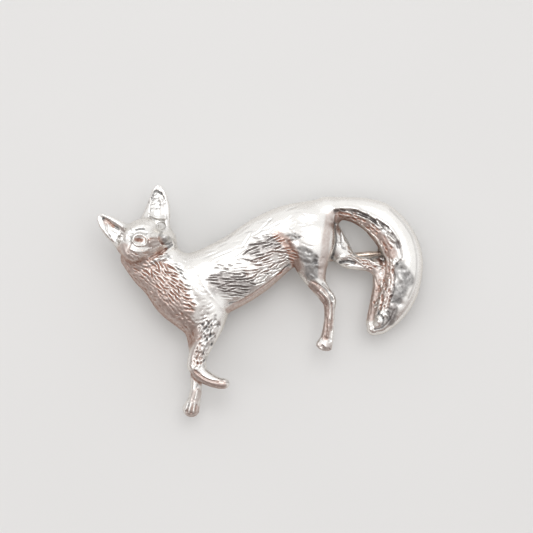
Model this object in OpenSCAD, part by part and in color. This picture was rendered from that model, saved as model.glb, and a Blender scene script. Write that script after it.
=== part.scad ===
// Walking fox brooch in cast silver, lying on its back.
// X runs from the chest to the tail, Y from the feet to the ears, and Z is out of the fox's flank.
// The origin is the middle of the outline, on the surface that the hinge and the catch rest on.

/* [Body] */
// Shoulder to hip
body_l = 16.4; // [14:0.1:20]
// Belly to back at the shoulder
barrel_h = 8.6; // [7.5:0.1:10.5]
// Belly down to the line of the feet
leg_l = 10; // [8.5:0.1:12.5]
// Hip to the root of the tail
rump_l = 3.2; // [2.6:0.1:3.8]
// Highest point of the relief above its flat back
relief_t = 7.2; // [6:0.1:8.5]

/* [Legs] */
// Width of the near foreleg at the shoulder
foreleg_w = 3.8; // [3:0.1:4.8]
// Width of the far foreleg where it leaves the chest
far_foreleg_w = 2.6; // [2:0.1:3.2]
// Width of the near thigh
thigh_w = 7; // [5.6:0.1:8]
// Width of the far thigh
far_thigh_w = 3.2; // [2.6:0.1:4]
// Width of the hind shanks above the paws
shank_w = 1.3; // [1.1:0.05:1.7]
// Width of a paw
paw_w = 1.6; // [1.3:0.05:2]

/* [Neck and head] */
// Width of the neck
neck_w = 6.6; // [5.6:0.1:7.6]
// Middle of the head above the back
neck_rise = 3.4; // [2.6:0.1:4.6]
// Width of the head over the cheeks
head_w = 7.6; // [6.6:0.1:8.6]
// Height of the head from jaw to crown
head_h = 5.2; // [4.6:0.1:6]
// Turn of the face from the front towards the tail, in degrees
head_turn = 35; // [20:1:45]
// Reach of the muzzle in front of the eyes
muzzle_l = 3.2; // [2.6:0.1:3.8]
// Width of the muzzle where it leaves the cheeks
muzzle_w = 3.2; // [2.6:0.1:3.6]
// Diameter of the nose
nose_d = 1.1; // [0.8:0.05:1.4]
// Diameter of an eye
eye_d = 1; // [0.7:0.05:1.3]
// Length of an ear
ear_l = 4.2; // [3.8:0.1:5.4]
// Width of an ear
ear_w = 3; // [2.4:0.1:3.6]
// Rim left round the hollow of an ear
ear_rim = 0.5; // [0.4:0.05:0.7]

/* [Tail] */
// Root of the tail to its outermost edge
tail_reach = 8.2; // [7:0.1:10]
// Root of the tail down to its lowest edge
tail_drop = 17; // [15:0.1:20]
// Greatest width of the tail
tail_w = 4.7; // [4:0.1:5.4]

/* [Pin] */
// Flat back above the surface that the brooch rests on
back_gap = 2.4; // [2.2:0.1:3.2]
// Diameter of the pin wire
stem_d = 0.8; // [0.7:0.05:0.9]
// Length of the pin's tapered point
point_l = 3.5; // [2.5:0.1:5]
// Diameter of the pin's blunt tip
tip_d = 0.2; // [0.15:0.05:0.3]
// Length of the tip that sticks out of the catch
tip_show = 0.8; // [0.4:0.1:1.2]
// Diameter of the round eye at the pin's hinge end
eye_ring_d = 1.8; // [1.7:0.05:2]
// Thickness of the round eye
eye_ring_t = 0.9; // [0.7:0.05:1.1]
// Diameter of the hinge rivet
rivet_d = 0.8; // [0.6:0.05:0.9]
// Thickness of each hinge lug
lug_t = 1; // [0.7:0.05:1.3]
// Thickness of the catch's wall
catch_t = 0.6; // [0.5:0.05:0.7]
// Width of the catch along the pin
catch_w = 1.6; // [1.2:0.1:2.2]
// Gap between pieces that move on each other
clearance = 0.08; // [0.05:0.01:0.12]

/* [Hidden] */

// Facets round a limb, round a large form and round an exact curve
limb_sides = 12;
form_sides = 22;
$fn = 48;
// Rows drawn between two rows of a table
table_steps = 2;

shoulder_x = 0;
hip_x = body_l;
head_at = [-0.4 * neck_w, leg_l + barrel_h + neck_rise, 0.47 * relief_t];
tail_root = [hip_x + rump_l, leg_l + 0.7 * barrel_h];

// Rows of every table below: x, y, z of the middle, half width across, half depth
function unit(v) = v / norm(v);
function blend(a, b, c, d, t) =
    0.5 * (2 * b + (c - a) * t + (2 * a - 5 * b + 4 * c - d) * t * t + (3 * (b - c) + d - a) * t * t * t);
function smooth(rows) = [
    for (i = [0 : len(rows) - 2], k = [0 : table_steps - 1])
        blend(rows[max(i - 1, 0)], rows[i], rows[i + 1], rows[min(i + 2, len(rows) - 1)], k / table_steps),
    rows[len(rows) - 1]
];
function middle(row) = [row[0], row[1], row[2]];
function heading(rows, i) = unit(middle(rows[min(i + 1, len(rows) - 1)]) - middle(rows[max(i - 1, 0)]));

// Round caps: each end goes on by a shrinking ring at these angles of a half circle
cap_angles = [40, 72];
function cap_row(row, way, angle) = concat(
    middle(row) + way * sin(angle) * min(row[3], row[4]),
    [row[3] * cos(angle), row[4] * cos(angle)]
);
function capped(rows) = let (n = len(rows) - 1) concat(
    [for (k = [len(cap_angles) - 1 : -1 : 0]) cap_row(rows[0], -heading(rows, 0), cap_angles[k])],
    rows,
    [for (angle = cap_angles) cap_row(rows[n], heading(rows, n), angle)]
);
function ring(row, way, front, sides) = let (across = unit(cross(front, way)), out = cross(way, across)) [
    for (k = [0 : sides - 1])
        middle(row) + across * row[3] * cos(360 * k / sides) + out * row[4] * sin(360 * k / sides)
];
function rings(rows, front, sides) = let (all = capped(smooth(rows)))
    [for (i = [0 : len(all) - 1]) each ring(all[i], heading(all, i), front, sides)];

// A round form through the rows of a table, front being the side its depth points to
module form(rows, sides = limb_sides, front = [0, 0, 1]) {
    points = rings(rows, front, sides);
    last = len(points) - sides;
    walls = [
        for (i = [0 : sides : last - sides], k = [0 : sides - 1])
            let (a = i + k, b = i + (k + 1) % sides)
                each [[a, a + sides, b], [b, a + sides, b + sides]]
    ];
    ends = [[for (k = [0 : sides - 1]) k], [for (k = [sides - 1 : -1 : 0]) last + k]];
    polyhedron(points, concat(walls, ends));
}

// Tables: the first two columns are shares of lengths, z and depth are shares of the relief
barrel_rows = [
    for (row = [
        // along body_l, up barrel_h, z, half width of barrel_h, half depth
        [-0.14, 0.52, 0.24, 0.36, 0.32],
        [0.03, 0.50, 0.25, 0.52, 0.40],
        [0.21, 0.49, 0.25, 0.50, 0.40],
        [0.43, 0.54, 0.24, 0.48, 0.37],
        [0.64, 0.60, 0.24, 0.45, 0.35],
        [0.82, 0.61, 0.24, 0.45, 0.36],
        [1.00, 0.62, 0.24, 0.40, 0.34],
        [1.16, 0.68, 0.22, 0.26, 0.28],
    ])
        [row[0] * body_l, leg_l + row[1] * barrel_h, row[2] * relief_t, row[3] * barrel_h, row[4] * relief_t]
];
neck_rows = [
    for (row = [
        // across neck_w, up from belly to head, z, half width of neck_w, half depth
        [-0.04, -0.05, 0.25, 0.38, 0.28],
        [-0.08, 0.08, 0.26, 0.47, 0.34],
        [-0.14, 0.25, 0.27, 0.53, 0.38],
        [-0.24, 0.42, 0.27, 0.54, 0.39],
        [-0.33, 0.58, 0.28, 0.51, 0.37],
        [-0.40, 0.73, 0.30, 0.50, 0.35],
        [-0.40, 0.88, 0.33, 0.52, 0.34],
    ])
        [row[0] * neck_w, leg_l + row[1] * (barrel_h + neck_rise), row[2] * relief_t, row[3] * neck_w,
            row[4] * relief_t]
];

// Legs: x from the shoulder or hip and y from the feet in shares of leg_l, width in shares of the leg's own
function leg_rows(from, width, table) = [
    for (row = table)
        [from + row[0] * leg_l, row[1] * leg_l, row[2] * relief_t, row[3] * width, row[4] * relief_t]
];
near_foreleg_rows = leg_rows(shoulder_x, foreleg_w, [
    [0.19, 1.55, 0.33, 0.56, 0.29],
    [0.18, 1.33, 0.36, 0.60, 0.31],
    [0.14, 1.09, 0.40, 0.46, 0.26],
    [0.01, 0.88, 0.41, 0.36, 0.20],
    [-0.15, 0.74, 0.39, 0.31, 0.16],
    [-0.27, 0.63, 0.36, 0.28, 0.14],
    [-0.34, 0.53, 0.33, 0.28, 0.14],
]);
near_forepaw_rows = leg_rows(shoulder_x, paw_w, [
    [-0.35, 0.53, 0.33, 0.58, 0.13],
    [-0.34, 0.41, 0.33, 0.54, 0.13],
    [-0.26, 0.30, 0.35, 0.47, 0.12],
    [-0.18, 0.22, 0.36, 0.41, 0.11],
    [-0.13, 0.19, 0.36, 0.34, 0.09],
]);
far_foreleg_rows = leg_rows(shoulder_x, far_foreleg_w, [
    [-0.14, 1.05, 0.20, 0.55, 0.22],
    [-0.21, 0.82, 0.16, 0.44, 0.18],
    [-0.31, 0.58, 0.13, 0.35, 0.14],
    [-0.42, 0.37, 0.11, 0.28, 0.12],
    [-0.50, 0.22, 0.10, 0.24, 0.11],
]);
far_forepaw_rows = leg_rows(shoulder_x, paw_w, [
    [-0.50, 0.22, 0.10, 0.39, 0.11],
    [-0.58, 0.14, 0.10, 0.42, 0.12],
    [-0.66, 0.09, 0.10, 0.48, 0.13],
]);
near_thigh_rows = leg_rows(hip_x, thigh_w, [
    [0.00, 1.66, 0.34, 0.42, 0.28],
    [-0.04, 1.46, 0.38, 0.50, 0.31],
    [-0.10, 1.26, 0.39, 0.44, 0.29],
    [-0.16, 1.10, 0.39, 0.34, 0.25],
    [-0.20, 0.96, 0.38, 0.25, 0.20],
    [-0.21, 0.80, 0.36, 0.16, 0.16],
    [-0.18, 0.62, 0.34, 0.12, 0.13],
]);
near_shank_rows = leg_rows(hip_x, shank_w, [
    [-0.18, 0.62, 0.34, 0.62, 0.12],
    [-0.17, 0.55, 0.33, 0.66, 0.12],
    [-0.22, 0.44, 0.31, 0.49, 0.10],
    [-0.31, 0.29, 0.28, 0.45, 0.09],
    [-0.40, 0.16, 0.26, 0.46, 0.09],
    [-0.49, 0.09, 0.25, 0.56, 0.09],
]);
far_thigh_rows = leg_rows(hip_x, far_thigh_w, [
    [0.18, 1.30, 0.20, 0.50, 0.22],
    [0.20, 1.10, 0.18, 0.48, 0.20],
    [0.26, 0.92, 0.15, 0.36, 0.16],
    [0.36, 0.82, 0.13, 0.27, 0.13],
    [0.46, 0.76, 0.12, 0.28, 0.12],
    [0.53, 0.69, 0.12, 0.29, 0.12],
]);
far_shank_rows = leg_rows(hip_x, shank_w, [
    [0.55, 0.70, 0.12, 0.68, 0.12],
    [0.53, 0.57, 0.12, 0.68, 0.12],
    [0.44, 0.41, 0.11, 0.62, 0.11],
    [0.31, 0.27, 0.10, 0.56, 0.11],
    [0.20, 0.15, 0.10, 0.50, 0.11],
    [0.13, 0.08, 0.10, 0.50, 0.12],
]);
tail_rows = [
    for (row = [
        // out tail_reach, down tail_drop, z, half width of tail_w, half depth
        [-0.12, -0.02, 0.22, 0.32, 0.26],
        [0.08, 0.01, 0.20, 0.34, 0.24],
        [0.27, 0.06, 0.18, 0.35, 0.22],
        [0.45, 0.13, 0.17, 0.42, 0.24],
        [0.61, 0.25, 0.17, 0.49, 0.27],
        [0.70, 0.40, 0.17, 0.51, 0.28],
        [0.70, 0.54, 0.17, 0.50, 0.28],
        [0.59, 0.66, 0.17, 0.50, 0.28],
        [0.41, 0.77, 0.17, 0.49, 0.27],
        [0.18, 0.86, 0.16, 0.42, 0.24],
        [-0.04, 0.93, 0.14, 0.28, 0.19],
        [-0.19, 0.96, 0.12, 0.13, 0.13],
    ])
        [tail_root[0] + row[0] * tail_reach, tail_root[1] - row[1] * tail_drop, row[2] * relief_t,
            row[3] * tail_w, row[4] * relief_t]
];

// An ear leans away from the middle of the head: side is -1 on the chest side and 1 on the tail side.
// The head's turn puts the chest side's ear further out of the relief.
ear_base_y = head_at[1] + 0.3 * head_h;
ear_step_z = 0.09 * relief_t;
ear_t = 0.45 * ear_w;
ear_hollow_z = 0.6 * ear_t;
function ear_rows(side, width, depth) = [
    for (row = [
        // out head_w, up ear_l, half width of the ear, half depth
        [0.30, -0.20, 0.42, 0.46],
        [0.36, 0.10, 0.50, 0.50],
        [0.43, 0.35, 0.46, 0.46],
        [0.50, 0.60, 0.33, 0.37],
        [0.55, 0.80, 0.16, 0.28],
    ])
        [head_at[0] + side * row[0] * head_w, ear_base_y + row[1] * ear_l, head_at[2] - side * ear_step_z,
            row[2] * width, row[3] * depth]
];

module ear(side) {
    difference() {
        form(ear_rows(side, ear_w, ear_t));
        translate([0, 0, ear_hollow_z])
            form(ear_rows(side, ear_w - 2 * ear_rim, ear_t), form_sides);
    }
}

// The head in its own frame: Z is where it looks and the middle lies between the ears
eye_at = [0.25 * head_w, 0.1 * head_h, 0.23 * relief_t];
muzzle_z = 0.2 * relief_t;
skull_rows = [
    for (row = [
        // up head_h, along the look, half width of head_w, half height of head_h
        [0.06, -0.40, 0.30, 0.32],
        [0.03, -0.20, 0.46, 0.47],
        [0.01, 0.00, 0.50, 0.51],
        [-0.01, 0.11, 0.45, 0.47],
        [-0.06, 0.19, 0.34, 0.38],
        [-0.09, 0.25, 0.20, 0.26],
    ])
        [0, row[0] * head_h, row[1] * relief_t, row[2] * head_w, row[3] * head_h]
];
muzzle_rows = [
    for (row = [
        // down head_h, along muzzle_l, half width of muzzle_w, half height of muzzle_w
        [0.06, 0.00, 0.46, 0.54],
        [0.11, 0.28, 0.42, 0.46],
        [0.17, 0.60, 0.32, 0.34],
        [0.21, 0.88, 0.24, 0.25],
    ])
        [0, -row[0] * head_h, muzzle_z + row[1] * muzzle_l, row[2] * muzzle_w, row[3] * muzzle_w]
];
nose_at = [0, -0.19 * head_h, muzzle_z + 0.98 * muzzle_l];
mouth_at = [0, -0.29 * head_h, muzzle_z + 0.86 * muzzle_l];
mouth_half = [0.42 * muzzle_w, 0.05 * muzzle_w, 0.4 * muzzle_l];
mouth_slope = 20;

module ball(at, size) {
    translate(at)
        sphere(d = size, $fn = limb_sides);
}

// The mouth is a thin flat slit round the end of the muzzle
module mouth() {
    translate(mouth_at)
        rotate([mouth_slope, 0, 0])
            scale(mouth_half)
                sphere(r = 1, $fn = limb_sides);
}

module head() {
    translate(head_at)
        rotate([0, head_turn, 0]) {
            difference() {
                union() {
                    form(skull_rows, form_sides, [0, 1, 0]);
                    form(muzzle_rows, limb_sides, [0, 1, 0]);
                }
                mouth();
            }
            ball(nose_at, nose_d);
            for (side = [-1, 1])
                ball([side * eye_at[0], eye_at[1], eye_at[2]], eye_d);
        }
    for (side = [-1, 1])
        ear(side);
}

module fox_forms() {
    form(barrel_rows, form_sides);
    form(neck_rows, form_sides);
    form(tail_rows, form_sides);
    form(near_thigh_rows, form_sides);
    form(near_foreleg_rows);
    form(near_forepaw_rows);
    form(near_shank_rows);
    form(far_foreleg_rows);
    form(far_forepaw_rows);
    form(far_thigh_rows);
    form(far_shank_rows);
    head();
}

// Everything behind the flat back is cut away by a block far larger than the fox, then the relief is
// brought to its exact depth
module cast_fox() {
    block = 4 * (body_l + tail_reach);
    resize([0, 0, relief_t])
        intersection() {
            fox_forms();
            translate([-block / 2, -block / 2, 0])
                cube(block);
        }
}

// The outline's own corners set the origin
outline = [
    for (rows = [far_forepaw_rows, tail_rows, ear_rows(-1, ear_w, ear_t), ear_rows(1, ear_w, ear_t)])
        each rings(rows, [0, 0, 1], form_sides)
];
function lowest(axis) = min([for (p = outline) p[axis]]);
function highest(axis) = max([for (p = outline) p[axis]]);
centre = [(lowest(0) + highest(0)) / 2, (lowest(1) + highest(1)) / 2];

// The pin runs from the hinge behind the shoulder to the catch behind the tail's inner edge
hinge_at = [shoulder_x + 0.11 * body_l, leg_l + 0.65 * barrel_h];
catch_at = [tail_root[0] + 0.48 * tail_reach, tail_root[1] - 0.475 * tail_drop];
stem_way = catch_at - hinge_at;
stem_turn = atan2(stem_way[1], stem_way[0]);
stem_run = norm(stem_way);

// Soldered feet go this far into the casting
solder = 0.3;
findings_top = back_gap + solder;
catch_bore_d = stem_d + 2 * clearance;
catch_d = catch_bore_d + 2 * catch_t;
stem_z = catch_d / 2;
rivet_bore_d = rivet_d + 2 * clearance;

module along_stem() {
    translate([hinge_at[0], hinge_at[1], 0])
        rotate([0, 0, stem_turn])
            children();
}

module rod(y0, y1, d) {
    translate([0, y0, stem_z])
        rotate([-90, 0, 0])
            cylinder(h = y1 - y0, d = d);
}

lug_d = 2 * stem_z;
lug_inner = eye_ring_t / 2 + clearance;
lug_outer = lug_inner + lug_t;

// Two lugs hang from the flat back with the rivet hole through both
module hinge_lugs() {
    difference() {
        for (start = [-lug_outer, lug_inner]) {
            rod(start, start + lug_t, lug_d);
            translate([-lug_d / 2, start, stem_z])
                cube([lug_d, lug_t, findings_top - stem_z]);
        }
        rod(-2 * lug_outer, 2 * lug_outer, rivet_bore_d);
    }
}

// The catch is a wall from the flat back that curls round below the pin and is open towards the feet
module catch() {
    translate([stem_run - catch_w / 2, 0, stem_z])
        rotate([90, 0, 90])
            linear_extrude(catch_w) {
                difference() {
                    union() {
                        circle(d = catch_d);
                        translate([catch_bore_d / 2, 0])
                            square([catch_t, findings_top - stem_z]);
                    }
                    circle(d = catch_bore_d);
                    translate([-catch_d, 0])
                        square([catch_d + catch_bore_d / 2, catch_d]);
                }
            }
}

module fox_figure() {
    color("silver")
        translate([-centre[0], -centre[1], 0]) {
            translate([0, 0, back_gap])
                cast_fox();
            along_stem() {
                hinge_lugs();
                catch();
            }
        }
}

// The wire starts inside the wall of its round eye and ends in a blunt tip past the catch
module pin_stem() {
    wire_start = (rivet_bore_d + eye_ring_d) / 4;
    wire_l = stem_run + catch_w / 2 + tip_show - wire_start;
    color("lightsteelblue")
        translate([-centre[0], -centre[1], 0])
            along_stem() {
                difference() {
                    rod(-eye_ring_t / 2, eye_ring_t / 2, eye_ring_d);
                    rod(-eye_ring_t, eye_ring_t, rivet_bore_d);
                }
                translate([wire_start, 0, stem_z])
                    rotate([0, 90, 0]) {
                        cylinder(h = wire_l - point_l, d = stem_d);
                        translate([0, 0, wire_l - point_l])
                            cylinder(h = point_l, d1 = stem_d, d2 = tip_d);
                    }
            }
}

module hinge_rivet() {
    color("gray")
        translate([-centre[0], -centre[1], 0])
            along_stem()
                rod(-lug_outer, lug_outer, rivet_d);
}

fox_figure();
pin_stem();
hinge_rivet();
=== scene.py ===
# Walking fox brooch in cast silver: the sculpted casting, its pin, their metals and the view.
# Lengths are in millimetres until a mesh is made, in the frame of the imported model.
import math

import bpy
import numpy as np
from mathutils import Matrix


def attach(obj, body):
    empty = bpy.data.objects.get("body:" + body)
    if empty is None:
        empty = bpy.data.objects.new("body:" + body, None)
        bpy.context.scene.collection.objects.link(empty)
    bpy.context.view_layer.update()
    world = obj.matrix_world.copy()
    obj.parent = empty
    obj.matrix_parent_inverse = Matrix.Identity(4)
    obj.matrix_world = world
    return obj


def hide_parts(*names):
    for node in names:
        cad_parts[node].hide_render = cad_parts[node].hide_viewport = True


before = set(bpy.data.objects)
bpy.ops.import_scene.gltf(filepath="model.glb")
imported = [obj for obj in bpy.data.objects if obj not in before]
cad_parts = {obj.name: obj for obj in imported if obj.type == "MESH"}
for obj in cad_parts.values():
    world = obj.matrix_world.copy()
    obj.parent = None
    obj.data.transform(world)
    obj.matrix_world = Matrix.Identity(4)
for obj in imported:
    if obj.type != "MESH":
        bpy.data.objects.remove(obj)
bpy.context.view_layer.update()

MM = 0.001

# Sizes of the construction
BODY_L = 16.4
BARREL_H = 8.6
LEG_L = 10.0
RUMP_L = 3.2
RELIEF = 7.2
FORELEG_W = 3.8
FAR_FORELEG_W = 2.6
THIGH_W = 7.0
FAR_THIGH_W = 3.2
SHANK_W = 1.3
PAW_W = 1.6
NECK_W = 6.6
NECK_RISE = 3.4
HEAD_W = 7.6
HEAD_H = 5.2
HEAD_TURN = math.radians(35)
EAR_L = 4.2
EAR_W = 3.0
EAR_T = 0.45 * EAR_W
EAR_RIM = 0.5
EAR_HOLLOW = 1.25
TAIL_REACH = 8.2
TAIL_DROP = 17.0
TAIL_W = 4.7
BACK_GAP = 2.4
STEM_D = 0.8
EYE_RING_T = 0.9
RIVET_D = 0.8
LUG_T = 1.0
CATCH_T = 0.6
CATCH_W = 1.6
CLEARANCE = 0.08

# The tables count from the shoulder, the line of the feet and the flat back
SHIFT = np.array([-10.235, -13.169, BACK_GAP])
TAIL_ROOT = (BODY_L + RUMP_L, LEG_L + 0.7 * BARREL_H)
# The relief is pressed to its depth as in the construction
PRESS = 0.94
DEPTH = PRESS * RELIEF

# The clay: corners and pitch of its grid, what counts as far off, and room round a form for its fillet
CLAY_LOW = np.array([-18.4, -15.0, -0.4])
CLAY_HIGH = np.array([18.4, 15.0, 10.4])
PITCH = 0.08
FAR = 9.0
MARGIN = 1.6


def sections(table, start, scale):
    """Rows x, y, z, half width, half depth from a table of shares."""
    rows = np.array(table) * np.array([scale[0], scale[1], DEPTH, scale[2], DEPTH])
    rows[:, :2] += start
    rows[:, :3] += SHIFT
    return rows


# The fox's parts in the order they are put on: fillet to what is there, start and scale of a table,
# then its sections as shares of them
BODY = {
    "barrel": (0.1, (0, LEG_L), (BODY_L, BARREL_H, BARREL_H), [
        (-0.14, 0.52, 0.24, 0.36, 0.32),
        (0.03, 0.46, 0.25, 0.48, 0.4),
        (0.21, 0.43, 0.25, 0.495, 0.4),
        (0.43, 0.46, 0.24, 0.485, 0.37),
        (0.64, 0.545, 0.24, 0.46, 0.35),
        (0.82, 0.59, 0.24, 0.42, 0.36),
        (1, 0.6, 0.24, 0.35, 0.34),
        (1.16, 0.64, 0.22, 0.23, 0.28),
    ]),
    "neck": (1.2, (0, LEG_L), (NECK_W, BARREL_H + NECK_RISE, NECK_W), [
        (-0.04, -0.05, 0.25, 0.38, 0.28),
        (-0.08, 0.08, 0.26, 0.47, 0.34),
        (-0.14, 0.25, 0.27, 0.53, 0.38),
        (-0.24, 0.42, 0.27, 0.54, 0.39),
        (-0.33, 0.58, 0.28, 0.51, 0.37),
        (-0.415, 0.73, 0.3, 0.515, 0.35),
        (-0.43, 0.88, 0.33, 0.55, 0.34),
    ]),
    "tail": (0.5, TAIL_ROOT, (TAIL_REACH, -TAIL_DROP, TAIL_W), [
        (-0.12, 0.01, 0.22, 0.26, 0.26),
        (0.08, 0.03, 0.2, 0.285, 0.24),
        (0.265, 0.078, 0.18, 0.315, 0.22),
        (0.445, 0.146, 0.17, 0.39, 0.24),
        (0.61, 0.25, 0.17, 0.48, 0.27),
        (0.7, 0.4, 0.17, 0.51, 0.28),
        (0.7, 0.54, 0.17, 0.5, 0.28),
        (0.59, 0.66, 0.17, 0.5, 0.28),
        (0.41, 0.77, 0.17, 0.49, 0.27),
        (0.18, 0.86, 0.16, 0.42, 0.24),
        (-0.04, 0.925, 0.14, 0.28, 0.19),
        (-0.16, 0.935, 0.12, 0.187, 0.13),
    ]),
    "far foreleg": (0.5, (0, 0), (LEG_L, LEG_L, FAR_FORELEG_W), [
        (-0.14, 1.05, 0.2, 0.55, 0.22),
        (-0.21, 0.82, 0.16, 0.44, 0.18),
        (-0.31, 0.58, 0.13, 0.35, 0.14),
        (-0.42, 0.37, 0.11, 0.28, 0.12),
        (-0.5, 0.22, 0.1, 0.24, 0.11),
    ]),
    "far forepaw": (0.3, (0, 0), (LEG_L, LEG_L, PAW_W), [
        (-0.5, 0.22, 0.1, 0.42, 0.11),
        (-0.57, 0.13, 0.1, 0.52, 0.13),
        (-0.64, 0.06, 0.1, 0.66, 0.14),
    ]),
    "far thigh": (0.5, (BODY_L, 0), (LEG_L, LEG_L, FAR_THIGH_W), [
        (0.18, 1.3, 0.2, 0.5, 0.22),
        (0.2, 1.1, 0.18, 0.48, 0.2),
        (0.26, 0.92, 0.15, 0.36, 0.16),
        (0.36, 0.82, 0.13, 0.27, 0.13),
        (0.46, 0.76, 0.12, 0.28, 0.12),
        (0.53, 0.69, 0.12, 0.29, 0.12),
    ]),
    "far shank": (0.3, (BODY_L, 0), (LEG_L, LEG_L, SHANK_W), [
        (0.55, 0.7, 0.12, 0.68, 0.12),
        (0.53, 0.57, 0.12, 0.68, 0.12),
        (0.44, 0.41, 0.11, 0.62, 0.11),
        (0.33, 0.27, 0.1, 0.56, 0.11),
        (0.235, 0.15, 0.1, 0.5, 0.11),
        (0.19, 0.09, 0.1, 0.5, 0.12),
    ]),
    "near thigh": (0.5, (BODY_L, 0), (LEG_L, LEG_L, THIGH_W), [
        (0, 1.55, 0.34, 0.36, 0.28),
        (-0.04, 1.44, 0.38, 0.47, 0.31),
        (-0.1, 1.26, 0.39, 0.44, 0.29),
        (-0.16, 1.1, 0.39, 0.34, 0.25),
        (-0.2, 0.96, 0.38, 0.25, 0.2),
        (-0.21, 0.8, 0.36, 0.16, 0.16),
        (-0.18, 0.62, 0.34, 0.12, 0.13),
    ]),
    "near shank": (0.3, (BODY_L, 0), (LEG_L, LEG_L, SHANK_W), [
        (-0.18, 0.62, 0.34, 0.62, 0.12),
        (-0.17, 0.55, 0.33, 0.66, 0.12),
        (-0.22, 0.44, 0.31, 0.49, 0.1),
        (-0.3, 0.29, 0.28, 0.5, 0.09),
        (-0.385, 0.16, 0.26, 0.6, 0.09),
        (-0.46, 0.08, 0.25, 0.8, 0.09),
    ]),
    "near foreleg": (0.8, (0, 0), (LEG_L, LEG_L, FORELEG_W), [
        (0.19, 1.55, 0.33, 0.56, 0.29),
        (0.18, 1.33, 0.36, 0.6, 0.31),
        (0.14, 1.09, 0.4, 0.47, 0.26),
        (0.01, 0.88, 0.41, 0.38, 0.2),
        (-0.15, 0.74, 0.39, 0.33, 0.17),
        (-0.27, 0.63, 0.36, 0.3, 0.15),
        (-0.34, 0.53, 0.33, 0.3, 0.15),
    ]),
    "near forepaw": (0.25, (0, 0), (LEG_L, LEG_L, PAW_W), [
        (-0.35, 0.53, 0.33, 0.62, 0.14),
        (-0.34, 0.41, 0.33, 0.6, 0.14),
        (-0.26, 0.29, 0.35, 0.5, 0.13),
        (-0.18, 0.21, 0.36, 0.43, 0.12),
        (-0.13, 0.18, 0.36, 0.4, 0.11),
    ]),
}
BACK_EDGE = 0.12


# The head has its own axes: right, up, and the way it looks
HEAD_AT = np.array([-0.4 * NECK_W, LEG_L + BARREL_H + NECK_RISE, 0.47 * DEPTH]) + SHIFT
RIGHT = np.array([math.cos(HEAD_TURN), 0, -math.sin(HEAD_TURN)])
UP = np.array([0.0, 1.0, 0.0])
LOOK = np.array([math.sin(HEAD_TURN), 0, math.cos(HEAD_TURN)])
HEAD_AXES = np.array([RIGHT, UP, LOOK])


def head_point(right, up, look):
    return HEAD_AT + right * RIGHT + up * UP + look * LOOK


# Ears: -1 towards the chest and 1 towards the tail, then shares across, up, half width, half depth
EAR_BASE = 0.3
EAR_STEP = 0.09
EARS = {
    -1: [(0.28, -0.22, 0.42, 0.46), (0.33, 0.08, 0.47, 0.5), (0.4, 0.35, 0.42, 0.46),
         (0.455, 0.58, 0.31, 0.37), (0.485, 0.73, 0.19, 0.28)],
    1: [(0.3, -0.2, 0.42, 0.46), (0.36, 0.1, 0.5, 0.5), (0.43, 0.35, 0.46, 0.46),
        (0.5, 0.6, 0.34, 0.37), (0.53, 0.74, 0.26, 0.32), (0.55, 0.82, 0.15, 0.26)],
}


def ear(side, width):
    table = np.array(EARS[side])
    rows = np.empty((len(table), 5))
    rows[:, 0] = HEAD_AT[0] + side * table[:, 0] * HEAD_W
    rows[:, 1] = HEAD_AT[1] + EAR_BASE * HEAD_H + table[:, 1] * EAR_L
    rows[:, 2] = HEAD_AT[2] - side * EAR_STEP * DEPTH
    rows[:, 3] = table[:, 2] * width
    rows[:, 4] = table[:, 3] * EAR_T * PRESS
    return rows


# Forms: each is its lowest and highest corner, and a function that gives distances to its surface
def curve(rows, steps=8):
    """Rows of a table joined by a smooth curve through all of them."""
    held = np.vstack([rows[:1], rows, rows[-1:]])
    t = np.linspace(0, 1, steps, endpoint=False)[:, None]
    spans = []
    for a, b, c, d in zip(held, held[1:], held[2:], held[3:]):
        spans.append(0.5 * (2 * b + (c - a) * t + (2 * a - 5 * b + 4 * c - d) * t**2
                            + (3 * (b - c) + d - a) * t**3))
    return np.vstack(spans + [rows[-1:]])


def round_distance(shares, slopes):
    """Distance to a round surface, from squared shares of its radii and those shares over the radii."""
    share = np.sqrt(shares)
    slope = np.sqrt(slopes)
    return share * (share - 1) / np.maximum(slope, 1e-4)


def nearest_on(line, px, py):
    """Squared distance of each place to a line of points, its nearest stretch, and the part along that."""
    nearest = np.full(np.broadcast_shapes(px.shape, py.shape), np.inf)
    stretch = np.zeros(nearest.shape, dtype=int)
    part = np.zeros(nearest.shape)
    for k, way in enumerate(np.diff(line, axis=0)):
        dx = px - line[k, 0]
        dy = py - line[k, 1]
        along = np.clip((dx * way[0] + dy * way[1]) / (way @ way), 0, 1)
        gap = (dx - along * way[0])**2 + (dy - along * way[1])**2
        closer = gap < nearest
        nearest[closer] = gap[closer]
        stretch[closer] = k
        part[closer] = along[closer]
    return nearest, stretch, part


def swept(rows):
    """Elliptic sections along the curve through the rows of a table, with round ends."""
    line = curve(rows)
    way = np.diff(line, axis=0)
    heading = way[:, :2] / np.sqrt((way[:, :2]**2).sum(axis=1))[:, None]
    reach = line[:, 3:].max(axis=1)[:, None]

    def distance(x, y, z):
        px = x[:, :, 0]
        py = y[:, :, 0]
        nearest, stretch, part = nearest_on(line[:, :2], px, py)
        row = line[stretch] + part[..., None] * way[stretch]
        past = (px - row[..., 0]) * heading[stretch, 0] + (py - row[..., 1]) * heading[stretch, 1]
        at_end = ((stretch == 0) & (part == 0)) | ((stretch == len(way) - 1) & (part == 1))
        past = np.where(at_end, past**2, 0)
        across = nearest - past
        wide = row[..., 3]
        deep = row[..., 4]
        cap = np.minimum(wide, deep)
        shares = (across / wide**2 + past / cap**2)[..., None]
        slopes = (across / wide**4 + past / cap**4)[..., None]
        level = (z - row[..., 2, None])**2
        deep = deep[..., None]
        return round_distance(shares + level / deep**2, slopes + level / deep**4)

    return (line[:, :3] - reach).min(axis=0), (line[:, :3] + reach).max(axis=0), distance


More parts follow.
